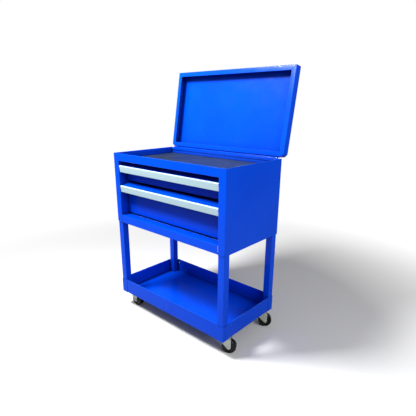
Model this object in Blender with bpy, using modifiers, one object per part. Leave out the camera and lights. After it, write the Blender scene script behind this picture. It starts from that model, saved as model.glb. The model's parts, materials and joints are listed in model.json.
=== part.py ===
# Two-drawer rolling tool chest with a lift-up lid and a lower tray.
# Metres, +Z up, the drawers open towards -Y. The origin is on the upper face of the
# bottom tray's floor, at its middle; the casters hang below it.

from math import acos, atan2, cos, degrees, hypot, pi, radians, sin, tan

import bmesh
import bpy
from mathutils import Matrix, Vector

MM = 0.001

# overall sizes, in millimetres
chest_width = 560.0
chest_depth = 304.8
cabinet_height = 276.5
leg_gap = 252.5          # from the tray's rim up to the cabinet's lower edge
tray_height = 60.0
sheet = 1.0              # folded steel sheet
fold_radius = 1.6        # outside of a fold
gap = 0.3                # between pieces that touch
rail_seam = 0.6          # from a front rail's end to the post
weld_step = 0.2          # welded layers are kept this far out of line with each other
overshoot = 5.0          # cutters reach this far past what they cut
blank_margin = 2.0       # a sheet blank beyond the outline it is trimmed to

# cabinet
post_face = 28.0         # front face of each corner post
post_return = 32.4       # how far the post turns back into the cabinet
post_lip = 10.0
top_rail_height = 29.0
bottom_rail_height = 31.2
rail_rise = 1.0          # the bottom rail's edge is this much above the side panels'
rail_flange = 14.0
hem_height = 11.0
hem_space = 1.2          # air inside a folded hem
hem_flat = 0.4           # level strip left between a hem's two folds
corner_bite = 7.0        # cut off each lower corner of the side panels
mat_thickness = 1.5
mat_margin = 2.0
bottom_panel_lip = 5.0

# legs
leg_size = 27.0
leg_wall = 1.4
leg_edge_radius = 2.4
leg_inset = 1.6          # leg face behind the sheet's outer face
leg_lift = 1.6           # leg foot above the tray's underside

# lower tray
joggle = 1.0             # the corners stand this much outside the walls
corner_wrap = 30.0       # length of each corner along both walls
corner_drop = 3.0        # the corners stop this far below the walls' rim
corner_round = 2.0
tray_bend = 2.5          # radius where the walls turn into the floor
weld_overlap = 1.5
tray_hem_drop = 31.0
tray_hem_end = 19.0      # from the hem's end to the leg
tray_bolt_radius = 3.6
tray_bolt_height = 2.4

# drawers
front_recess = 37.0      # drawer face behind the posts' face
side_clearance = 2.0     # drawer front to post
drawer_gap = 8.0         # between the two fronts and up to the top rail
bottom_gap = 6.5
upper_front_height = 70.0
pull_drop = 12.0         # the pull's slope, from the face's top edge to the lip
lip_height = 21.0
lip_lean = 4.3
trim_thickness = 1.3
trim_wrap = 3.6
trim_return = 5.6
hook_room = 0.4          # extra room round the lip, inside the trim
box_back_room = 15.5     # behind the drawer box, to the back panel
slide_space = 10.5       # drawer side to post
box_side_room = 2.0      # drawer side to its rail's flange
box_lift = 2.6
box_top_drop = 11.4      # box rim below the face's top edge
slide_height = 24.0
slide_play = 0.4
slide_flange = 7.4
slide_short = 3.0        # the drawer's rail ends this far before the cabinet's

# lid and its hinge
lid_height = 30.0
lid_rim = 17.5
lid_edge_radius = 2.8
lid_corner = 10.0        # cut across the two corners at the hinge
lid_side_overhang = 1.5
lid_front_overhang = 3.0
lid_gap = 0.9
lid_open_angle = 99.5
hinge_offset = 4.1       # pin behind the cabinet's back
hinge_rise = 0.3         # pin above the cabinet's rim
hinge_length = 532.0
hinge_knuckles = 14
hinge_sheet = 0.9
pin_radius = 1.3
pin_clearance = 0.15
leaf_height = 22.0
leaf_root = 5.0          # where a leaf starts to curl, from the pin
stop_tab_width = 34.0
stop_tab_reach = 13.0
stop_tab_drop = 7.5
stop_tab_place = 150.0
stop_tab_sheet = 1.2

# casters
wheel_radius = 25.5
wheel_width = 23.0
wheel_bore = 3.4
caster_trail = 20.3
wheel_headroom = 14.9    # wheel to tray
caster_inset_x = 29.0
caster_inset_y = 40.7
plate_length = 58.0
plate_width = 46.0
plate_thickness = 2.2
race_radius = 16.0
race_height = 3.6
fork_sheet = 1.8
fork_clearance = 1.1     # wheel side to fork
fork_end_radius = 7.5    # round the axle
fork_back = 14.0         # fork edge behind the swivel
fork_shoulder = 2.5      # straight drop below the crown
axle_radius = 3.1
axle_head_radius = 5.6
axle_head_height = 3.6
kingpin_radius = 4.0
kingpin_head_radius = 6.6
kingpin_head_height = 2.4
kingpin_clearance = 0.3
round_steps = 24
pin_steps = 16
caster_headings = {"front_right": 28.3, "back_right": 37.3, "front_left": 1.8, "back_left": 20.0}

# worked out from the above, in millimetres, z from the top of the tray's floor
half_width = chest_width / 2
half_depth = chest_depth / 2
tray_bottom = -sheet
axle_height = tray_bottom - wheel_headroom - wheel_radius
tray_top = tray_bottom + tray_height
cabinet_bottom = tray_top + leg_gap
cabinet_top = cabinet_bottom + cabinet_height
post_inner = half_width - post_face
slide_wall_x = post_inner + weld_step
hem_depth = 2 * sheet + hem_space
hem_fold = min(fold_radius, (hem_depth - hem_flat) / 2)
hem_step = 0.1           # a hem's top below the sheet's own edge
bottom_rail_bottom = cabinet_bottom + rail_rise
bottom_rail_top = bottom_rail_bottom + bottom_rail_height
top_rail_bottom = cabinet_top - top_rail_height
floor_bottom = top_rail_bottom + sheet + gap
drawer_face = -half_depth + front_recess
upper_top = top_rail_bottom - drawer_gap
upper_bottom = upper_top - upper_front_height
lower_top = upper_bottom - drawer_gap
lower_bottom = bottom_rail_top + bottom_gap
front_half = post_inner - side_clearance
box_half = post_inner - slide_space - box_side_room
leg_outer_x = half_width - leg_inset
leg_outer_y = half_depth - leg_inset
leg_bottom = tray_bottom + leg_lift
leg_top = bottom_rail_top - sheet - gap
hinge_y = half_depth + hinge_offset
hinge_z = cabinet_top + hinge_rise
tilt = radians(lid_open_angle)


def clear_scene():
    for item in list(bpy.data.objects):
        bpy.data.objects.remove(item, do_unlink=True)


def make_collection(name):
    group = bpy.data.collections.new(name)
    bpy.context.scene.collection.children.link(group)
    return group


clear_scene()
parts = make_collection("rolling_tool_chest")
cutters = make_collection("cutters")


def make_material(name, colour, roughness, metallic):
    material = bpy.data.materials.new(name)
    material.use_nodes = True
    shader = material.node_tree.nodes["Principled BSDF"]
    shader.inputs["Base Color"].default_value = (*colour, 1.0)
    shader.inputs["Roughness"].default_value = roughness
    shader.inputs["Metallic"].default_value = metallic
    return material


finishes = {
    "paint": ((0.005, 0.07, 0.80), 0.25, 0.0),
    "trim": ((0.52, 0.72, 0.78), 0.35, 0.0),
    "mat": ((0.03, 0.04, 0.05), 0.8, 0.0),
    "zinc": ((0.62, 0.62, 0.52), 0.35, 1.0),
    "tyre": ((0.01, 0.01, 0.012), 0.3, 0.0),
}


def finish(item, kind):
    colour, roughness, metallic = finishes[kind]
    item.data.materials.clear()
    item.data.materials.append(make_material(item.name + "_" + kind, colour, roughness, metallic))


def place(item, kind, parent=None):
    parts.objects.link(item)
    item.parent = parent
    finish(item, kind)
    return item


def as_cutter(item, parent=None):
    cutters.objects.link(item)
    item.parent = parent
    item.hide_render = True
    item.display_type = "WIRE"
    return item


def boolean(target, tool, operation):
    modifier = target.modifiers.new(operation.lower(), "BOOLEAN")
    modifier.operation = operation
    modifier.solver = "EXACT"
    modifier.object = tool
    return modifier


def mesh_object(name, shape):
    bmesh.ops.recalc_face_normals(shape, faces=shape.faces)
    mesh = bpy.data.meshes.new(name)
    shape.to_mesh(mesh)
    shape.free()
    return bpy.data.objects.new(name, mesh)


def block(name, low, high):
    """A box from its lowest to its highest corner, in millimetres."""
    low = Vector(low) * MM
    high = Vector(high) * MM
    shape = bmesh.new()
    bmesh.ops.create_cube(shape, size=1.0)
    bmesh.ops.scale(shape, vec=high - low, verts=shape.verts)
    bmesh.ops.translate(shape, vec=(low + high) / 2, verts=shape.verts)
    return mesh_object(name, shape)


def round_upright_edges(item, radius):
    shape = bmesh.new()
    shape.from_mesh(item.data)
    upright = [edge for edge in shape.edges
               if abs(edge.verts[0].co.z - edge.verts[1].co.z) > 1e-6]
    bmesh.ops.bevel(shape, geom=upright, offset=radius * MM, segments=2, profile=0.5, affect="EDGES")
    shape.to_mesh(item.data)
    shape.free()


def blocks(name, corners):
    """Several boxes that don't touch, as one cutter."""
    shape = bmesh.new()
    for low, high in corners:
        low = Vector(low) * MM
        high = Vector(high) * MM
        cube = bmesh.ops.create_cube(shape, size=1.0)["verts"]
        bmesh.ops.scale(shape, vec=high - low, verts=cube)
        bmesh.ops.translate(shape, vec=(low + high) / 2, verts=cube)
    return mesh_object(name, shape)


def rod(name, radius, start, end, axis="Z", steps=round_steps, centre=(0.0, 0.0)):
    """A round bar along one axis; centre is its place on the other two axes."""
    shape = bmesh.new()
    bmesh.ops.create_cone(shape, cap_ends=True, segments=steps, radius1=radius * MM,
                          radius2=radius * MM, depth=(end - start) * MM)
    bmesh.ops.translate(shape, vec=(0.0, 0.0, (start + end) / 2 * MM), verts=shape.verts)
    turns = {"X": Matrix.Rotation(pi / 2, 4, "Y"), "Y": Matrix.Rotation(-pi / 2, 4, "X"), "Z": Matrix()}
    shape.transform(turns[axis])
    a, b = centre[0] * MM, centre[1] * MM
    moves = {"X": (0.0, a, b), "Y": (a, 0.0, b), "Z": (a, b, 0.0)}
    bmesh.ops.translate(shape, vec=moves[axis], verts=shape.verts)
    item = mesh_object(name, shape)
    item.data.shade_smooth()
    item.data.set_sharp_from_angle(angle=radians(40))
    return item


def folded_sheet(name, line, axis, start, end, left, thickness=sheet, fold=fold_radius):
    """Sheet metal: an open line of bends drawn across axis, carried from start to end.

    left is 1 where the metal lies left of the line as it is walked, with the line's first
    axis to the right and its second upwards, or -1 where it lies to the right."""
    shape = bmesh.new()
    order = {"X": lambda p, t: (t, p[0], p[1]), "Y": lambda p, t: (p[0], t, p[1]),
             "Z": lambda p, t: (p[0], p[1], t)}[axis]
    first = [shape.verts.new(Vector(order(point, start)) * MM) for point in line]
    last = [shape.verts.new(Vector(order(point, end)) * MM) for point in line]
    for k in range(len(line) - 1):
        shape.faces.new((first[k], first[k + 1], last[k + 1], last[k]))
    mesh = bpy.data.meshes.new(name)
    shape.to_mesh(mesh)
    shape.free()
    item = bpy.data.objects.new(name, mesh)
    if fold:
        bevel = item.modifiers.new("folds", "BEVEL")
        bevel.width = fold * MM
        bevel.segments = 2
        bevel.limit_method = "ANGLE"
    solidify = item.modifiers.new("sheet", "SOLIDIFY")
    solidify.thickness = thickness * MM
    solidify.offset = left if axis == "Y" else -left
    solidify.use_even_offset = True
    return item


def open_box(name, low, high, bend=0.0):
    """A pan with no top: five faces, the metal on the inside."""
    low_m = Vector(low) * MM
    high_m = Vector(high) * MM
    shape = bmesh.new()
    bmesh.ops.create_cube(shape, size=1.0)
    bmesh.ops.scale(shape, vec=high_m - low_m, verts=shape.verts)
    bmesh.ops.translate(shape, vec=(low_m + high_m) / 2, verts=shape.verts)
    bmesh.ops.recalc_face_normals(shape, faces=shape.faces)
    top = [face for face in shape.faces if face.normal.z > 0.5]
    bmesh.ops.delete(shape, geom=top, context="FACES_ONLY")
    mesh = bpy.data.meshes.new(name)
    shape.to_mesh(mesh)
    shape.free()
    item = bpy.data.objects.new(name, mesh)
    if bend:
        bevel = item.modifiers.new("bend", "BEVEL")
        bevel.width = bend * MM
        bevel.segments = 2
        bevel.limit_method = "ANGLE"
    solidify = item.modifiers.new("sheet", "SOLIDIFY")
    solidify.thickness = sheet * MM
    solidify.offset = -1.0
    solidify.use_even_offset = True
    return item


def outline_plate(name, outline, start, end):
    """A flat outline in the XZ plane, given its thickness along Y and made a mesh."""
    curve = bpy.data.curves.new(name, "CURVE")
    curve.dimensions = "2D"
    curve.fill_mode = "BOTH"
    curve.extrude = (end - start) / 2 * MM
    spline = curve.splines.new("POLY")
    spline.points.add(len(outline) - 1)
    for point, (x, z) in zip(spline.points, outline):
        point.co = (x * MM, z * MM, 0.0, 1.0)
    spline.use_cyclic_u = True
    guide = bpy.data.objects.new(name, curve)
    cutters.objects.link(guide)
    guide.rotation_euler = (pi / 2, 0.0, 0.0)
    guide.location = (0.0, (start + end) / 2 * MM, 0.0)
    bpy.context.view_layer.update()
    evaluated = guide.evaluated_get(bpy.context.evaluated_depsgraph_get())
    mesh = bpy.data.meshes.new_from_object(evaluated)
    shape = bmesh.new()
    shape.from_mesh(mesh)
    bmesh.ops.remove_doubles(shape, verts=shape.verts, dist=0.000005)
    shape.transform(guide.matrix_world)
    bpy.data.objects.remove(guide, do_unlink=True)
    return mesh_object(name, shape)


def arc(centre, radius, start, end, steps):
    """Points on an arc, angles in degrees."""
    points = []
    for k in range(steps + 1):
        angle = radians(start + (end - start) * k / steps)
        points.append((centre[0] + radius * cos(angle), centre[1] + radius * sin(angle)))
    return points


def turned(name, profile, axis_turn, steps=round_steps):
    """A ring turned about Z from a closed profile of (radius, height), then laid by axis_turn."""
    shape = bmesh.new()
    corners = [shape.verts.new((r * MM, 0.0, h * MM)) for r, h in profile]
    for k, corner in enumerate(corners):
        shape.edges.new((corner, corners[(k + 1) % len(corners)]))
    mesh = bpy.data.meshes.new(name)
    shape.to_mesh(mesh)
    shape.free()
    item = bpy.data.objects.new(name, mesh)
    screw = item.modifiers.new("turn", "SCREW")
    screw.angle = 2 * pi
    screw.steps = steps
    screw.render_steps = steps
    screw.use_merge_vertices = True
    screw.merge_threshold = 0.000005
    screw.use_smooth_shade = True
    screw.use_normal_flip = True
    item.rotation_euler = axis_turn
    return item


def corner_cut(name, corner, way, size):
    """A cube whose one face cuts a corner off, size back from it along all three edges."""
    shape = bmesh.new()
    cube = 6 * size * MM
    bmesh.ops.create_cube(shape, size=cube)
    bmesh.ops.translate(shape, vec=(0.0, 0.0, cube / 2), verts=shape.verts)
    outward = Vector(way).normalized()
    shape.transform(outward.to_track_quat("Z", "Y").to_matrix().to_4x4())
    reach = size / len(way) ** 0.5
    bmesh.ops.translate(shape, vec=(Vector(corner) - outward * reach) * MM, verts=shape.verts)
    return mesh_object(name, shape)


def side_panel(side):
    name = "right_side_panel" if side > 0 else "left_side_panel"
    line = [(side * half_width, half_depth), (side * half_width, -half_depth),
            (side * post_inner, -half_depth)]
    panel = folded_sheet(name, line, "Z", cabinet_bottom, cabinet_top, -side)
    bite = corner_cut(name + "_bite", (side * half_width, -half_depth, cabinet_bottom),
                      (side, -1.0, -1.0), corner_bite)
    boolean(panel, as_cutter(bite), "DIFFERENCE")
    edge = side * slide_wall_x
    line = [(edge, -half_depth + sheet * 0.5), (edge, -half_depth + post_return),
            (edge + side * post_lip, -half_depth + post_return)]
    channel = folded_sheet(name + "_return", line, "Z", bottom_rail_top + gap, floor_bottom - gap, -side)
    boolean(panel, as_cutter(channel), "UNION")
    fold_x = half_width - hem_depth
    line = [(side * (half_width - sheet * 0.5), cabinet_top - hem_step),
            (side * fold_x, cabinet_top - hem_step), (side * fold_x, cabinet_top - hem_height)]
    hem_end = half_depth - hem_depth - gap
    hem = folded_sheet(name + "_hem", line, "Y", -hem_end, hem_end, side, fold=hem_fold)
    boolean(panel, as_cutter(hem), "UNION")
    return place(panel, "paint")


def cabinet():
    for side in (-1, 1):
        side_panel(side)
    inside_x = half_width - sheet - gap
    inside_y = half_depth - sheet - gap
    fold_y = half_depth - hem_depth
    line = [(half_depth, cabinet_bottom), (half_depth, cabinet_top), (fold_y, cabinet_top),
            (fold_y, cabinet_top - hem_height)]
    place(folded_sheet("back_panel", line, "X", -inside_x, inside_x, 1, fold=hem_fold), "paint")
    rail_half = post_inner - rail_seam
    line = [(-half_depth + rail_flange, top_rail_bottom), (-half_depth, top_rail_bottom),
            (-half_depth, cabinet_top), (-fold_y, cabinet_top), (-fold_y, cabinet_top - hem_height)]
    place(folded_sheet("top_rail", line, "X", -rail_half, rail_half, -1, fold=hem_fold), "paint")
    rail_half = leg_outer_x - leg_size - rail_seam
    line = [(-half_depth + rail_flange, bottom_rail_bottom), (-half_depth, bottom_rail_bottom),
            (-half_depth, bottom_rail_top), (drawer_face, bottom_rail_top),
            (drawer_face, bottom_rail_top - bottom_panel_lip)]
    place(folded_sheet("bottom_rail", line, "X", -rail_half, rail_half, -1), "paint")
    line = [(-rail_half, bottom_rail_top + bottom_panel_lip), (-rail_half, bottom_rail_top - sheet),
            (rail_half, bottom_rail_top - sheet), (rail_half, bottom_rail_top + bottom_panel_lip)]
    place(folded_sheet("bottom_panel", line, "Y", drawer_face + gap, inside_y, 1), "paint")
    floor_top = floor_bottom + sheet
    place(block("compartment_floor", (-inside_x, -inside_y, floor_bottom), (inside_x, inside_y, floor_top)),
          "paint")
    mat_x = inside_x - mat_margin
    mat_y = inside_y - mat_margin
    place(block("rubber_mat", (-mat_x, -mat_y, floor_top + gap),
                (mat_x, mat_y, floor_top + gap + mat_thickness)), "mat")
    for side, name in ((-1, "left_slide_wall"), (1, "right_slide_wall")):
        edges = sorted((side * slide_wall_x, side * (slide_wall_x + sheet)))
        place(block(name, (edges[0], -half_depth + post_return + gap, bottom_rail_top + gap),
                    (edges[1], inside_y, floor_bottom - gap)), "paint")


def legs():
    for name, side, end in corners:
        leg = block(name + "_leg", (0.0, 0.0, leg_bottom), (leg_size, leg_size, leg_top))
        round_upright_edges(leg, leg_edge_radius)
        bore = block(name + "_leg_bore", (leg_wall, leg_wall, leg_bottom - overshoot),
                     (leg_size - leg_wall, leg_size - leg_wall, leg_top + overshoot))
        boolean(leg, as_cutter(bore), "DIFFERENCE")
        x = min(side * leg_outer_x, side * (leg_outer_x - leg_size))
        y = min(end * leg_outer_y, end * (leg_outer_y - leg_size))
        for item in (leg, bore):
            item.location = (x * MM, y * MM, 0.0)
        place(leg, "paint")


def tray():
    wall_x = half_width - joggle
    wall_y = half_depth - joggle
    pan = open_box("bottom_tray", (-wall_x, -wall_y, tray_bottom), (wall_x, wall_y, tray_top), tray_bend)
    notch_x = half_width - corner_wrap
    notch_y = half_depth - corner_wrap
    squares = []
    for name, side, end in corners:
        x = sorted((side * notch_x, side * (half_width + overshoot)))
        y = sorted((end * notch_y, end * (half_depth + overshoot)))
        squares.append(((x[0], y[0], tray_bottom - overshoot), (x[1], y[1], tray_top + overshoot)))
    boolean(pan, as_cutter(blocks("tray_corner_cuts", squares)), "DIFFERENCE")
    for name, side, end in corners:
        near_x = notch_x - weld_overlap
        near_y = notch_y - weld_overlap
        x = sorted((side * near_x, side * (half_width - sheet * 0.5)))
        y = sorted((end * near_y, end * (half_depth - sheet * 0.5)))
        foot = block(name + "_tray_foot", (x[0], y[0], tray_bottom + weld_step),
                     (x[1], y[1], tray_bottom + weld_step + sheet))
        boolean(pan, as_cutter(foot), "UNION")
        line = [(side * near_x, end * half_depth), (side * (half_width - corner_round), end * half_depth),
                (side * half_width, end * (half_depth - corner_round)), (side * half_width, end * near_y)]
        wrap = folded_sheet(name + "_tray_corner", line, "Z", tray_bottom + 2 * weld_step,
                            tray_top - corner_drop, -side * end, thickness=joggle + gap, fold=0.0)
        boolean(pan, as_cutter(wrap), "UNION")
    hem_x = leg_outer_x - leg_size - tray_hem_end
    hem_y = leg_outer_y - leg_size - tray_hem_end
    drop = tray_top - tray_hem_drop
    for side in (-1, 1):
        fold = wall_x - hem_depth
        line = [(side * (wall_x - sheet * 0.5), tray_top - hem_step),
                (side * fold, tray_top - hem_step), (side * fold, drop)]
        hem = folded_sheet("tray_side_hem", line, "Y", -hem_y, hem_y, side, fold=hem_fold)
        boolean(pan, as_cutter(hem), "UNION")
        fold = wall_y - hem_depth
        line = [(side * (wall_y - sheet * 0.5), tray_top - hem_step),
                (side * fold, tray_top - hem_step), (side * fold, drop)]
        hem = folded_sheet("tray_long_hem", line, "X", -hem_x, hem_x, side, fold=hem_fold)
        boolean(pan, as_cutter(hem), "UNION")
    place(pan, "paint")
    bolt_x = hem_x + tray_hem_end * 0.45
    bolt_z = tray_top - tray_hem_drop * 0.5
    for name, side, end in corners:
        face = wall_y - sheet - gap
        start, stop = sorted((end * face, end * (face - tray_bolt_height)))
        bolt = rod(name + "_tray_bolt", tray_bolt_radius, start, stop, "Y", steps=12,
                   centre=(side * bolt_x, bolt_z))
        place(bolt, "zinc")


def drawer(name, top, bottom):
    slide = bpy.data.objects.new(name + "_drawer_slide", None)
    parts.objects.link(slide)
    lip_front = -half_depth + trim_thickness + gap
    lip_top = top - pull_drop
    lip_inside = lip_front + sheet + hook_room
    lip_foot = lip_top - sheet - lip_height
    line = [(drawer_face, bottom), (drawer_face, top - sheet), (lip_inside, lip_top - sheet),
            (lip_inside + lip_lean, lip_foot)]
    front = folded_sheet(name + "_drawer_front", line, "X", -front_half, front_half, -1)
    place(front, "paint", slide)

    # the trim hooks over the lip's top bend and under its lower edge
    cover = gap + trim_thickness
    slope = pull_drop / (drawer_face - lip_front)
    above = cover / cos(atan2(slope, 1.0))
    lean = lip_lean / lip_height
    foot_z = lip_foot - cover
    behind = lip_inside + lip_lean + cover + hook_room
    line = [(lip_front + trim_wrap, lip_top + trim_wrap * slope + above),
            (lip_front - cover, lip_top - cover * slope + above),
            (lip_front - cover + lip_lean, foot_z), (behind, foot_z),
            (behind - trim_return * lean, foot_z + trim_return)]
    trim = folded_sheet(name + "_pull_trim", line, "X", -front_half, front_half, 1,
                        thickness=trim_thickness)
    place(trim, "trim", slide)

    box_front = drawer_face + sheet + gap
    box_bottom = bottom + box_lift
    box_height = top - box_top_drop - box_bottom
    box_length = half_depth - sheet - box_back_room - box_front
    pan = open_box(name + "_drawer_box", (-box_half, box_front, box_bottom),
                   (box_half, box_front + box_length, box_bottom + box_height))
    place(pan, "paint", slide)
    middle = box_bottom + box_height * 0.55
    start = box_front + gap + sheet
    for side, word in ((-1, "left"), (1, "right")):
        outer_x = slide_wall_x - gap
        half = slide_height / 2
        line = [(side * (outer_x - slide_flange), middle + half), (side * outer_x, middle + half),
                (side * outer_x, middle - half), (side * (outer_x - slide_flange), middle - half)]
        rail = folded_sheet(name + "_" + word + "_cabinet_rail", line, "Y", start,
                            start + box_length, -side)
        place(rail, "zinc")
        inner_x = box_half + gap
        half = slide_height / 2 - sheet - slide_play
        line = [(side * (inner_x + slide_flange), middle + half), (side * inner_x, middle + half),
                (side * inner_x, middle - half), (side * (inner_x + slide_flange), middle - half)]
        rail = folded_sheet(name + "_" + word + "_drawer_rail", line, "Y", start,
                            start + box_length - slide_short, side)
        place(rail, "zinc", slide)


def lid_shell():
    """The lid closed, measured from the hinge pin: a shallow box with a rim turned in."""
    low = lid_gap - hinge_rise
    back = -hinge_offset
    front = back - chest_depth - lid_front_overhang
    side = half_width + lid_side_overhang
    low_corner = Vector((-side, front, low)) * MM
    high_corner = Vector((side, back, low + lid_height)) * MM
    shape = bmesh.new()
    bmesh.ops.create_cube(shape, size=1.0)
    bmesh.ops.scale(shape, vec=high_corner - low_corner, verts=shape.verts)
    bmesh.ops.translate(shape, vec=(low_corner + high_corner) / 2, verts=shape.verts)
    hinge_edges = [edge for edge in shape.edges
                   if all(abs(v.co.y - high_corner.y) < 1e-6 for v in edge.verts)
                   and abs(edge.verts[0].co.z - edge.verts[1].co.z) > 1e-6]
    bmesh.ops.bevel(shape, geom=hinge_edges, offset=lid_corner * MM, segments=1, affect="EDGES")
    bmesh.ops.recalc_face_normals(shape, faces=shape.faces)
    mouth = [face for face in shape.faces if face.normal.z < -0.5]
    bmesh.ops.inset_region(shape, faces=mouth, thickness=lid_rim * MM, use_even_offset=True)
    bmesh.ops.delete(shape, geom=mouth, context="FACES")
    mesh = bpy.data.meshes.new("lid")
    shape.to_mesh(mesh)
    shape.free()
    lid = bpy.data.objects.new("lid", mesh)
    bevel = lid.modifiers.new("edges", "BEVEL")
    bevel.width = lid_edge_radius * MM
    bevel.segments = 2
    bevel.limit_method = "ANGLE"
    solidify = lid.modifiers.new("sheet", "SOLIDIFY")
    solidify.thickness = sheet * MM
    solidify.offset = -1.0
    solidify.use_even_offset = True
    lid.modifiers.new("flat faces", "TRIANGULATE")
    return lid


def hinge_leaf(word, up, parent, centre):
    """A leaf rolled round the pin and notched for the other leaf's knuckles; up is 1 or -1."""
    outer = pin_radius + pin_clearance + hinge_sheet
    pitch = hinge_length / hinge_knuckles
    start_x = -hinge_length / 2
    begin = 180.0 - up * 30.0
    leaf_y = centre[0] - hinge_offset + gap
    line = [(leaf_y, centre[1] + up * leaf_height), (leaf_y, centre[1] + up * leaf_root)]
    line += arc(centre, outer, begin, begin + up * 300.0, 12)
    leaf = folded_sheet("hinge_leaf_" + word, line, "X", start_x, start_x + hinge_length, up,
                        thickness=hinge_sheet, fold=0.0)
    notches = []
    for k in range(hinge_knuckles):
        if (k % 2 == 0) == (up > 0):
            low_x = start_x + k * pitch - gap * 0.5
            high_x = start_x + (k + 1) * pitch + gap * 0.5
            if k == 0:
                low_x -= overshoot
            if k == hinge_knuckles - 1:
                high_x += overshoot
            edges = sorted((centre[1] - up * (outer + 1.0), centre[1] + up * (outer + 0.6)))
            notches.append(((low_x, leaf_y - 1.0, edges[0]), (high_x, centre[0] + outer + 1.0, edges[1])))
    boolean(leaf, as_cutter(blocks("hinge_notches_" + word, notches), parent), "DIFFERENCE")
    return leaf


def stop_tabs(leaf):
    """Two tabs turned back from the fixed leaf; the open lid's leaf comes to rest on them."""
    leaf_under = hinge_offset - gap - hinge_sheet
    slid = stop_tab_reach + leaf_under * cos(tilt)
    rest_y = hinge_y + stop_tab_reach
    rest_z = hinge_z + leaf_under * sin(tilt) + slid / tan(tilt) - gap
    start_y = hinge_y - hinge_offset + gap + weld_step
    ledge_z = hinge_z - stop_tab_drop
    for side in (-1, 1):
        middle = side * stop_tab_place
        line = [(start_y, ledge_z), (rest_y, ledge_z), (rest_y, rest_z)]
        tab = folded_sheet("stop_tab", line, "X", middle - stop_tab_width / 2,
                           middle + stop_tab_width / 2, 1, thickness=stop_tab_sheet)
        boolean(leaf, as_cutter(tab), "UNION")


def lid_and_hinge():
    pivot = bpy.data.objects.new("lid_pivot", None)
    pivot.location = (0.0, hinge_y * MM, hinge_z * MM)
    pivot.rotation_euler = (-tilt, 0.0, 0.0)
    parts.objects.link(pivot)
    place(lid_shell(), "paint", pivot)
    place(hinge_leaf("lid", 1, pivot, (0.0, 0.0)), "paint", pivot)
    leaf = hinge_leaf("cabinet", -1, None, (hinge_y, hinge_z))
    stop_tabs(leaf)
    place(leaf, "paint")
    pin = rod("hinge_pin", pin_radius, -hinge_length / 2 - 0.5, hinge_length / 2 + 0.5, "X", steps=12,
              centre=(hinge_y, hinge_z))
    place(pin, "zinc")


def wheel_profile():
    half = wheel_width / 2
    hub = half + fork_clearance - 0.6
    shoulder = 3.2
    web = half - 3.4
    rim = wheel_radius * 0.70
    edge = wheel_radius - shoulder
    upper = arc((edge, half - shoulder), shoulder, 0, 75, 2)
    upper += [(rim, half - 0.5), (rim - 1.0, web), (wheel_bore + 5.2, web), (wheel_bore + 4.2, hub),
              (wheel_bore, hub)]
    lower = [(r, -h) for r, h in reversed(upper)]
    return lower + upper


def fork_outline(crown_top):
    """The fork's side: a crown, a slanting edge down to the axle, and a straight edge back up."""
    front_edge = caster_trail + fork_end_radius
    shoulder_z = crown_top - fork_sheet - fork_shoulder
    across = -fork_back - caster_trail
    rise = shoulder_z - axle_height
    touch = degrees(atan2(rise, across) + acos(fork_end_radius / hypot(across, rise)))
    return ([(-fork_back, crown_top + overshoot), (-fork_back, shoulder_z)]
            + arc((caster_trail, axle_height), fork_end_radius, touch, 360.0, 8)
            + [(front_edge, crown_top + overshoot)])


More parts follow.
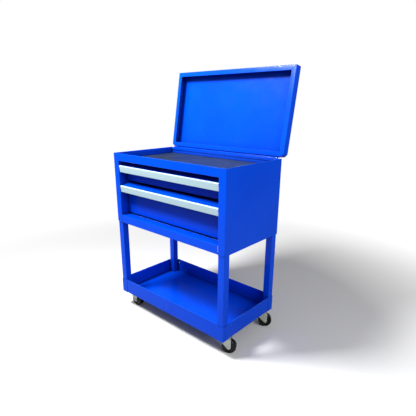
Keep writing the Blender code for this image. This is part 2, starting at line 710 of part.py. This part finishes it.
def caster(name, side, end):
    """One swivel caster, drawn rolling along +X with its swivel axis at x = y = 0."""
    x = side * (half_width - caster_inset_x)
    y = end * (half_depth - caster_inset_y)
    stem = bpy.data.objects.new(name + "_caster_place", None)
    stem.location = (x * MM, y * MM, 0.0)
    parts.objects.link(stem)
    swivel = bpy.data.objects.new(name + "_swivel", None)
    swivel.rotation_euler = (0.0, 0.0, radians(caster_headings[name]))
    swivel.parent = stem
    parts.objects.link(swivel)

    plate_top = tray_bottom - gap
    plate_under = plate_top - plate_thickness
    race_bottom = plate_under - race_height
    plate = block(name + "_caster_plate", (-plate_width / 2, -plate_length / 2, plate_under),
                  (plate_width / 2, plate_length / 2, plate_top))
    race = rod(name + "_race", race_radius, race_bottom, plate_under + 0.8)
    boolean(plate, as_cutter(race, stem), "UNION")
    hole = rod(name + "_plate_hole", kingpin_radius + kingpin_clearance, race_bottom - overshoot,
               plate_top + overshoot, steps=pin_steps)
    boolean(plate, as_cutter(hole, stem), "DIFFERENCE")
    place(plate, "zinc", stem)

    crown_top = race_bottom - gap
    outside_half = wheel_width / 2 + fork_clearance + fork_sheet
    low = axle_height - fork_end_radius - blank_margin
    line = [(-outside_half, low), (-outside_half, crown_top), (outside_half, crown_top),
            (outside_half, low)]
    fork = folded_sheet(name + "_fork", line, "X", -fork_back - blank_margin,
                        caster_trail + fork_end_radius + blank_margin, -1, thickness=fork_sheet)
    side_shape = outline_plate(name + "_fork_side", fork_outline(crown_top), -outside_half - 3.0,
                               outside_half + 3.0)
    boolean(fork, as_cutter(side_shape, swivel), "INTERSECT")
    hole = rod(name + "_crown_hole", kingpin_radius + kingpin_clearance, crown_top - fork_sheet - overshoot,
               crown_top + overshoot, steps=pin_steps)
    boolean(fork, as_cutter(hole, swivel), "DIFFERENCE")
    axle_hole = rod(name + "_axle_hole", axle_radius + gap, -outside_half - overshoot,
                    outside_half + overshoot, "Y", steps=pin_steps, centre=(caster_trail, axle_height))
    boolean(fork, as_cutter(axle_hole, swivel), "DIFFERENCE")
    place(fork, "zinc", swivel)

    head_top = crown_top - fork_sheet - gap
    pin = rod(name + "_kingpin", kingpin_radius, head_top - 1.5, plate_top - 0.4, steps=pin_steps)
    head = rod(name + "_kingpin_head", kingpin_head_radius, head_top - kingpin_head_height, head_top,
               steps=pin_steps)
    boolean(pin, as_cutter(head, stem), "UNION")
    place(pin, "zinc", stem)

    spin = bpy.data.objects.new(name + "_spin", None)
    spin.location = (caster_trail * MM, 0.0, axle_height * MM)
    spin.parent = swivel
    parts.objects.link(spin)
    wheel = turned(name + "_wheel", wheel_profile(), (pi / 2, 0.0, 0.0))
    place(wheel, "tyre", spin)

    head_start = outside_half + gap
    middle = (caster_trail, axle_height)
    axle = rod(name + "_axle", axle_radius, -head_start - 1.0, head_start + 1.0, "Y", steps=pin_steps,
               centre=middle)
    for word, way in (("bolt_head", -1), ("nut", 1)):
        start, stop = sorted((way * head_start, way * (head_start + axle_head_height)))
        knob = rod(name + "_" + word, axle_head_radius, start, stop, "Y", steps=6, centre=middle)
        boolean(axle, as_cutter(knob, swivel), "UNION")
    place(axle, "zinc", swivel)


corners = [("front_left", -1, -1), ("front_right", 1, -1), ("back_left", -1, 1), ("back_right", 1, 1)]

cabinet()
legs()
tray()
drawer("upper", upper_top, upper_bottom)
drawer("lower", lower_top, lower_bottom)
lid_and_hinge()
for corner_name, corner_side, corner_end in corners:
    caster(corner_name, corner_side, corner_end)
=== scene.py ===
import json
from math import cos, pi, radians, sin

import bmesh
import bpy
from mathutils import Matrix, Vector


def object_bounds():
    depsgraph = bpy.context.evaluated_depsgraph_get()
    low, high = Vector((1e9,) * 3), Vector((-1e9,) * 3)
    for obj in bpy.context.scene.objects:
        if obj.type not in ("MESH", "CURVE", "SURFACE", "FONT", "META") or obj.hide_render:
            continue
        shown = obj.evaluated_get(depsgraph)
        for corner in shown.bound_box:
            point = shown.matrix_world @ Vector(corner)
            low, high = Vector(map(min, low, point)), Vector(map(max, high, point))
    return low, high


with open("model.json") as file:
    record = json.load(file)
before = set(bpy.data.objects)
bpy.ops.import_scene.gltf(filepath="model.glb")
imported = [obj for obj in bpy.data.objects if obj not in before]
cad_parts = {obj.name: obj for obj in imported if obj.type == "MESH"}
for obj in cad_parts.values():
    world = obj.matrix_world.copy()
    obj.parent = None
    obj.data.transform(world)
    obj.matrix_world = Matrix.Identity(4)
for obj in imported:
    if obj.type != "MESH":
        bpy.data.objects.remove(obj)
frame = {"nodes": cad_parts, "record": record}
cadBox = [list(map(float, corner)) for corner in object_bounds()]
nodes = frame["nodes"]
scene = bpy.context.scene
print("frame loaded:", len(nodes), "nodes")


def newMaterial(name):
    material = bpy.data.materials.new(name)
    material.use_nodes = True
    tree = material.node_tree
    return material, tree, tree.nodes["Principled BSDF"]


def addNode(tree, kind, settings=None, **values):
    node = tree.nodes.new(kind)
    for key, value in (settings or {}).items():
        setattr(node, key, value)
    for key, value in values.items():
        node.inputs[key.replace("_", " ")].default_value = value
    return node


def noiseTexture(tree, coords, scale, detail=3.0, roughness=0.5, stretch=None):
    noise = addNode(tree, "ShaderNodeTexNoise", Scale=scale, Detail=detail, Roughness=roughness)
    if stretch:
        mapping = addNode(tree, "ShaderNodeMapping", Scale=stretch)
        tree.links.new(coords, mapping.inputs["Vector"])
        coords = mapping.outputs["Vector"]
    tree.links.new(coords, noise.inputs["Vector"])
    return noise.outputs["Fac"]


def mapRange(tree, value, fromLow, fromHigh, toLow, toHigh):
    node = addNode(tree, "ShaderNodeMapRange", From_Min=fromLow, From_Max=fromHigh,
                   To_Min=toLow, To_Max=toHigh)
    tree.links.new(value, node.inputs["Value"])
    return node.outputs["Result"]


def mathNode(tree, operation, first, second):
    node = addNode(tree, "ShaderNodeMath", {"operation": operation})
    for socket, value in zip(node.inputs, (first, second)):
        if isinstance(value, (int, float)):
            socket.default_value = value
        else:
            tree.links.new(value, socket)
    return node.outputs["Value"]


def mixColours(tree, factor, first, second):
    node = addNode(tree, "ShaderNodeMix", {"data_type": "RGBA"})
    tree.links.new(factor, node.inputs["Factor"])
    for socket, value in ((node.inputs[6], first), (node.inputs[7], second)):
        if isinstance(value, (tuple, list)):
            socket.default_value = (*value, 1.0)
        else:
            tree.links.new(value, socket)
    return node.outputs[2]


def bumpNode(tree, height, distance, strength=1.0, below=None):
    node = addNode(tree, "ShaderNodeBump", Distance=distance, Strength=strength)
    tree.links.new(height, node.inputs["Height"])
    if below is not None:
        tree.links.new(below, node.inputs["Normal"])
    return node.outputs["Normal"]


# how far a spot's rounded-over normal turns from its own: 0 on a flat, rising at edges
def edgeMask(tree, radius):
    bevel = addNode(tree, "ShaderNodeBevel", {"samples": 6}, Radius=radius)
    geometry = tree.nodes.new("ShaderNodeNewGeometry")
    dot = addNode(tree, "ShaderNodeVectorMath", {"operation": "DOT_PRODUCT"})
    tree.links.new(bevel.outputs["Normal"], dot.inputs[0])
    tree.links.new(geometry.outputs["Normal"], dot.inputs[1])
    return mapRange(tree, dot.outputs["Value"], 0.995, 0.86, 0.0, 1.0)


paintFinish = {
    "colour": (0.0, 0.088, 0.93),
    "cooler": (0.0, 0.074, 0.86),
    # lighter blue on edges: partly rubbed-through paint, partly a painted highlight
    "edge": (0.05, 0.34, 1.0),
    "edgeWidth": 0.0012,
    "wearAndHighlightScale": 90.0,
    "broadScale": 5.0,        # slow change of colour over a whole panel
    "smudgeScale": 22.0,
    "roughness": (0.20, 0.28),
    "specular": 0.16,
    "coat": 0.10,
    "coatRoughness": 0.06,
    "peelScale": 260.0,       # orange peel, cells per metre
    "peelHeight": 0.000015,
    "dentScale": 7.0,
    "dentHeight": 0.0004,
    # the next four values set painted shade, a darker colour in seams and in hollows
    "seamReach": 0.010,       # metres from a seam that still look darker
    "seamDepth": 0.30,
    "hollowReach": 0.11,      # the same for a whole hollow, such as the tray
    "hollowDepth": 0.50,
}


# painted shade: darker in seams and inside corners, where little light gets in
def seamShade(tree, colour, reach, depth):
    occlusion = addNode(tree, "ShaderNodeAmbientOcclusion", {"samples": 8}, Distance=reach)
    tint = mapRange(tree, occlusion.outputs["AO"], 0.30, 0.92, depth, 1.0)
    shade = addNode(tree, "ShaderNodeVectorMath", {"operation": "SCALE"})
    tree.links.new(colour, shade.inputs[0])
    tree.links.new(tint, shade.inputs["Scale"])
    return shade.outputs["Vector"]


def makePaint(name="bluePaint", finish=paintFinish):
    material, tree, shader = newMaterial(name)
    coords = tree.nodes.new("ShaderNodeTexCoord").outputs["Object"]
    broad = mapRange(tree, noiseTexture(tree, coords, finish["broadScale"], 2.0), 0.3, 0.7, 0.0, 1.0)
    colour = mixColours(tree, broad, finish["colour"], finish["cooler"])
    # edges turn lighter blue in noisy patches: partly wear, partly a painted highlight along the edges
    wearAndHighlightPatches = noiseTexture(tree, coords, finish["wearAndHighlightScale"], 4.0, 0.7)
    edgeBlend = mathNode(tree, "MULTIPLY", edgeMask(tree, finish["edgeWidth"]), wearAndHighlightPatches)
    colour = mixColours(tree, edgeBlend, colour, finish["edge"])
    # painted shade in seams, then over whole hollows such as the tray
    colour = seamShade(tree, colour, finish["seamReach"], finish["seamDepth"])
    colour = seamShade(tree, colour, finish["hollowReach"], finish["hollowDepth"])
    tree.links.new(colour, shader.inputs["Base Color"])
    smudge = noiseTexture(tree, coords, finish["smudgeScale"], 5.0, 0.65)
    tree.links.new(mapRange(tree, smudge, 0.35, 0.7, *finish["roughness"]), shader.inputs["Roughness"])
    peel = noiseTexture(tree, coords, finish["peelScale"], 2.0, 0.4)
    dents = noiseTexture(tree, coords, finish["dentScale"], 1.0, 0.3)
    normal = bumpNode(tree, dents, finish["dentHeight"], 0.25)
    normal = bumpNode(tree, peel, finish["peelHeight"], 0.35, normal)
    tree.links.new(normal, shader.inputs["Normal"])
    shader.inputs["Coat Weight"].default_value = finish["coat"]
    shader.inputs["Coat Roughness"].default_value = finish["coatRoughness"]
    shader.inputs["Specular IOR Level"].default_value = finish["specular"]
    return material


trimFinish = {
    "colour": (0.66, 0.90, 0.97),
    "shade": (0.60, 0.84, 0.93),
    "worn": (0.80, 0.92, 0.95),
    "roughness": (0.30, 0.42),
    "metallic": 0.15,
    "grainScale": 60.0,
    "grainHeight": 0.00003,
    "edgeWidth": 0.0008,
}


def makeTrimMetal(name="pullTrimSatin", finish=trimFinish):
    material, tree, shader = newMaterial(name)
    coords = tree.nodes.new("ShaderNodeTexCoord").outputs["Object"]
    grain = noiseTexture(tree, coords, finish["grainScale"], 4.0, 0.6, (0.06, 6.0, 12.0))
    colour = mixColours(tree, grain, finish["shade"], finish["colour"])
    edgeBlend = mathNode(tree, "MULTIPLY", edgeMask(tree, finish["edgeWidth"]), 0.6)
    colour = mixColours(tree, edgeBlend, colour, finish["worn"])
    tree.links.new(colour, shader.inputs["Base Color"])
    tree.links.new(mapRange(tree, grain, 0.3, 0.7, *finish["roughness"]), shader.inputs["Roughness"])
    tree.links.new(bumpNode(tree, grain, finish["grainHeight"], 0.4), shader.inputs["Normal"])
    shader.inputs["Metallic"].default_value = finish["metallic"]
    return material


matFinish = {
    "colour": (0.010, 0.022, 0.055),
    "dusty": (0.022, 0.046, 0.095),
    "ribPitch": 0.0042,
    "ribHeight": 0.0007,
    "grainHeight": 0.00006,
    "roughness": (0.45, 0.62),
}


def makeRibbedRubber(name="ribbedMatRubber", finish=matFinish):
    material, tree, shader = newMaterial(name)
    coords = tree.nodes.new("ShaderNodeTexCoord").outputs["Object"]
    wave = addNode(tree, "ShaderNodeTexWave", {"wave_type": "BANDS", "bands_direction": "X",
                                               "wave_profile": "SIN"}, Scale=pi / (10 * finish["ribPitch"]))
    tree.links.new(coords, wave.inputs["Vector"])
    dust = noiseTexture(tree, coords, 14.0, 6.0, 0.7)
    colour = mixColours(tree, mapRange(tree, dust, 0.4, 0.75, 0.0, 1.0), finish["colour"], finish["dusty"])
    tree.links.new(colour, shader.inputs["Base Color"])
    tree.links.new(mapRange(tree, dust, 0.3, 0.7, *finish["roughness"]), shader.inputs["Roughness"])
    grain = noiseTexture(tree, coords, 900.0, 2.0)
    normal = bumpNode(tree, wave.outputs["Fac"], finish["ribHeight"], 0.8)
    tree.links.new(bumpNode(tree, grain, finish["grainHeight"], 0.5, normal), shader.inputs["Normal"])
    return material


zincFinish = {
    "colour": (0.80, 0.82, 0.62),
    "bluish": (0.74, 0.82, 0.80),
    "dull": (0.46, 0.46, 0.36),
    "worn": (0.92, 0.93, 0.86),
    "roughness": (0.22, 0.42),
    "metallic": 0.55,
    "bloomScale": 70.0,
    "spotScale": 240.0,
    "grainHeight": 0.00002,
    "edgeWidth": 0.0006,
}


def makeZinc(name="casterZinc", finish=zincFinish):
    material, tree, shader = newMaterial(name)
    coords = tree.nodes.new("ShaderNodeTexCoord").outputs["Object"]
    bloom = noiseTexture(tree, coords, finish["bloomScale"], 4.0, 0.6)
    tarnish = mapRange(tree, bloom, 0.35, 0.65, 0.0, 1.0)
    colour = mixColours(tree, tarnish, finish["colour"], finish["bluish"])
    speckle = noiseTexture(tree, coords, finish["spotScale"], 3.0, 0.7)
    spots = mapRange(tree, speckle, 0.58, 0.75, 0.0, 0.7)
    colour = mixColours(tree, spots, colour, finish["dull"])
    edgeBlend = edgeMask(tree, finish["edgeWidth"])
    colour = mixColours(tree, edgeBlend, colour, finish["worn"])
    tree.links.new(colour, shader.inputs["Base Color"])
    tree.links.new(mapRange(tree, bloom, 0.3, 0.7, *finish["roughness"]), shader.inputs["Roughness"])
    grain = noiseTexture(tree, coords, 700.0, 2.0)
    tree.links.new(bumpNode(tree, grain, finish["grainHeight"], 0.5), shader.inputs["Normal"])
    shader.inputs["Metallic"].default_value = finish["metallic"]
    return material


wheelFinish = {
    "colour": (0.006, 0.006, 0.007),
    "scuffed": (0.026, 0.026, 0.026),
    "edge": (0.07, 0.07, 0.07),
    "roughness": (0.12, 0.32),
    "scuffScale": 130.0,
    "scuffHeight": 0.00008,
    "edgeWidth": 0.0008,
}


def makeWheelPlastic(name="wheelBlackPlastic", finish=wheelFinish):
    material, tree, shader = newMaterial(name)
    coords = tree.nodes.new("ShaderNodeTexCoord").outputs["Object"]
    scuff = noiseTexture(tree, coords, finish["scuffScale"], 6.0, 0.75)
    worn = mapRange(tree, scuff, 0.55, 0.8, 0.0, 1.0)
    colour = mixColours(tree, worn, finish["colour"], finish["scuffed"])
    edge = mathNode(tree, "MULTIPLY", edgeMask(tree, finish["edgeWidth"]), 0.35)
    colour = mixColours(tree, edge, colour, finish["edge"])
    tree.links.new(colour, shader.inputs["Base Color"])
    tree.links.new(mapRange(tree, scuff, 0.35, 0.75, *finish["roughness"]), shader.inputs["Roughness"])
    tree.links.new(bumpNode(tree, scuff, finish["scuffHeight"], 0.4), shader.inputs["Normal"])
    return material


finishes = {
    "paint": makePaint(),
    "trim": makeTrimMetal(),
    "mat": makeRibbedRubber(),
    "zinc": makeZinc(),
    "wheel": makeWheelPlastic(),
}
print("finishes made:", ", ".join(finishes))


# bevel widths in metres
edgeRounding = {"paint": 0.00045, "trim": 0.0004, "mat": 0.0004, "zinc": 0.0003, "wheel": 0.0}


def shadeSmoothGroup():
    group = bpy.data.node_groups.new("smoothFaces", "GeometryNodeTree")
    group.interface.new_socket("Geometry", in_out="INPUT", socket_type="NodeSocketGeometry")
    group.interface.new_socket("Geometry", in_out="OUTPUT", socket_type="NodeSocketGeometry")
    start = group.nodes.new("NodeGroupInput")
    end = group.nodes.new("NodeGroupOutput")
    smooth = group.nodes.new("GeometryNodeSetShadeSmooth")
    group.links.new(start.outputs[0], smooth.inputs["Geometry"])
    group.links.new(smooth.outputs[0], end.inputs[0])
    return group


smoothFaces = shadeSmoothGroup()


def dressNode(item, finishName):
    item.data.materials.clear()
    item.data.materials.append(finishes[finishName])
    weld = item.modifiers.new("weld", "WELD")
    weld.merge_threshold = 0.00001
    if edgeRounding[finishName]:
        bevel = item.modifiers.new("rolledEdges", "BEVEL")
        bevel.width = edgeRounding[finishName]
        bevel.segments = 2
        bevel.limit_method = "ANGLE"
        bevel.angle_limit = radians(32)
        bevel.use_clamp_overlap = True
    smooth = item.modifiers.new("smooth", "NODES")
    smooth.node_group = smoothFaces
    weighted = item.modifiers.new("flatHighlights", "WEIGHTED_NORMAL")
    weighted.keep_sharp = True


slotOf = {entry["node"]: entry["material_slot"] for entry in frame["record"]["subparts"]}
for nodeName, item in nodes.items():
    dressNode(item, slotOf[nodeName])
print("CAD nodes dressed")


studio = {
    "floorRadius": 14.0,
    "floorColour": (0.90, 0.90, 0.90),
    "floorBounce": (0.30, 0.30, 0.31),  # the floor's colour in reflections and as bounced light
    "fadeFrom": 0.75,                   # the floor turns into the backdrop between these radii
    "fadeTo": 1.5,
    "backdrop": 1.0,                    # what the camera sees behind the object
    "fill": 0.22,                       # the light that comes from all round
    "mirrored": 0.10,                   # what glossy faces reflect of the surroundings
    "keyPower": 52.0,
    "keySize": 0.42,
    "keyDistance": 1.5,
    "keyDirection": (-0.34, -0.54, 0.77),
    "keyTarget": (0.0, 0.0, 0.62),
    "sidePower": 27.0,
    "sideSize": (1.6, 1.1),
    "sideDistance": 2.4,
    "sideDirection": (0.88, -0.16, 0.45),
    "sideTarget": (0.0, 0.0, 0.45),
}


def makeFloor():
    shape = bmesh.new()
    bmesh.ops.create_circle(shape, cap_ends=True, segments=96, radius=studio["floorRadius"])
    mesh = bpy.data.meshes.new("studioFloor")
    shape.to_mesh(mesh)
    shape.free()
    floor = bpy.data.objects.new("studioFloor", mesh)
    floor.location.z = cadBox[0][2]
    scene.collection.objects.link(floor)
    material, tree, shader = newMaterial("studioPaper")
    path = tree.nodes.new("ShaderNodeLightPath")
    colour = mixColours(tree, path.outputs["Is Camera Ray"], studio["floorBounce"], studio["floorColour"])
    tree.links.new(colour, shader.inputs["Base Color"])
    shader.inputs["Roughness"].default_value = 0.75
    shader.inputs["Specular IOR Level"].default_value = 0.2
    coords = tree.nodes.new("ShaderNodeTexCoord").outputs["Object"]
    reach = addNode(tree, "ShaderNodeVectorMath", {"operation": "LENGTH"})
    tree.links.new(coords, reach.inputs[0])
    fade = mapRange(tree, reach.outputs["Value"], studio["fadeFrom"], studio["fadeTo"], 0.0, 1.0)
    fade = mathNode(tree, "MULTIPLY", fade, path.outputs["Is Camera Ray"])
    glow = addNode(tree, "ShaderNodeEmission", Strength=studio["backdrop"])
    blend = tree.nodes.new("ShaderNodeMixShader")
    tree.links.new(fade, blend.inputs["Fac"])
    tree.links.new(shader.outputs["BSDF"], blend.inputs[1])
    tree.links.new(glow.outputs["Emission"], blend.inputs[2])
    tree.links.new(blend.outputs["Shader"], tree.nodes["Material Output"].inputs["Surface"])
    floor.data.materials.append(material)


def areaLight(name, energy, size, toLight, distance, target):
    data = bpy.data.lights.new(name, "AREA")
    data.energy = energy
    data.shape = "RECTANGLE"
    data.size, data.size_y = size
    lamp = bpy.data.objects.new(name, data)
    towards = Vector(toLight).normalized()
    lamp.location = Vector(target) + towards * distance
    lamp.rotation_euler = towards.to_track_quat("Z", "Y").to_euler()
    scene.collection.objects.link(lamp)
    return lamp


def makeLights():
    world = bpy.data.worlds.new("whiteStudio")
    world.use_nodes = True
    tree = world.node_tree
    background = tree.nodes["Background"]
    background.inputs["Color"].default_value = (1.0, 1.0, 1.0, 1.0)
    path = tree.nodes.new("ShaderNodeLightPath")
    glossy = mapRange(tree, path.outputs["Is Glossy Ray"], 0.0, 1.0, studio["fill"], studio["mirrored"])
    seen = addNode(tree, "ShaderNodeMix", {"data_type": "FLOAT"})
    tree.links.new(path.outputs["Is Camera Ray"], seen.inputs["Factor"])
    tree.links.new(glossy, seen.inputs["A"])
    seen.inputs["B"].default_value = studio["backdrop"]
    tree.links.new(seen.outputs["Result"], background.inputs["Strength"])
    scene.world = world
    keySize = (studio["keySize"], studio["keySize"])
    areaLight("keyPanel", studio["keyPower"], keySize, studio["keyDirection"], studio["keyDistance"],
              studio["keyTarget"])
    areaLight("sidePanel", studio["sidePower"], studio["sideSize"], studio["sideDirection"],
              studio["sideDistance"], studio["sideTarget"])


cameraView = {
    "azimuth": 41.914,
    "elevation": 17.704,
    "roll": 0.289,
    "distance": 1.38611,
    "target": (0.0678, 0.0, 0.3402),
    "lens": 31.996,
    "shift": (0.0031, 0.0379),
}


def makeCamera():
    az = radians(cameraView["azimuth"])
    el = radians(cameraView["elevation"])
    back = Vector((sin(az) * cos(el), -cos(az) * cos(el), sin(el)))
    data = bpy.data.cameras.new("studioCamera")
    data.sensor_width = 36.0
    data.lens = cameraView["lens"]
    data.shift_x, data.shift_y = cameraView["shift"]
    data.clip_end = 60.0
    camera = bpy.data.objects.new("studioCamera", data)
    turn = back.to_track_quat("Z", "Y").to_matrix().to_4x4()
    turn = turn @ Matrix.Rotation(radians(cameraView["roll"]), 4, "Z")
    place = Vector(cameraView["target"]) + back * cameraView["distance"]
    camera.matrix_world = Matrix.Translation(place) @ turn
    scene.collection.objects.link(camera)
    scene.camera = camera


makeFloor()
makeLights()
makeCamera()
scene.view_settings.view_transform = "Standard"
print("studio ready")
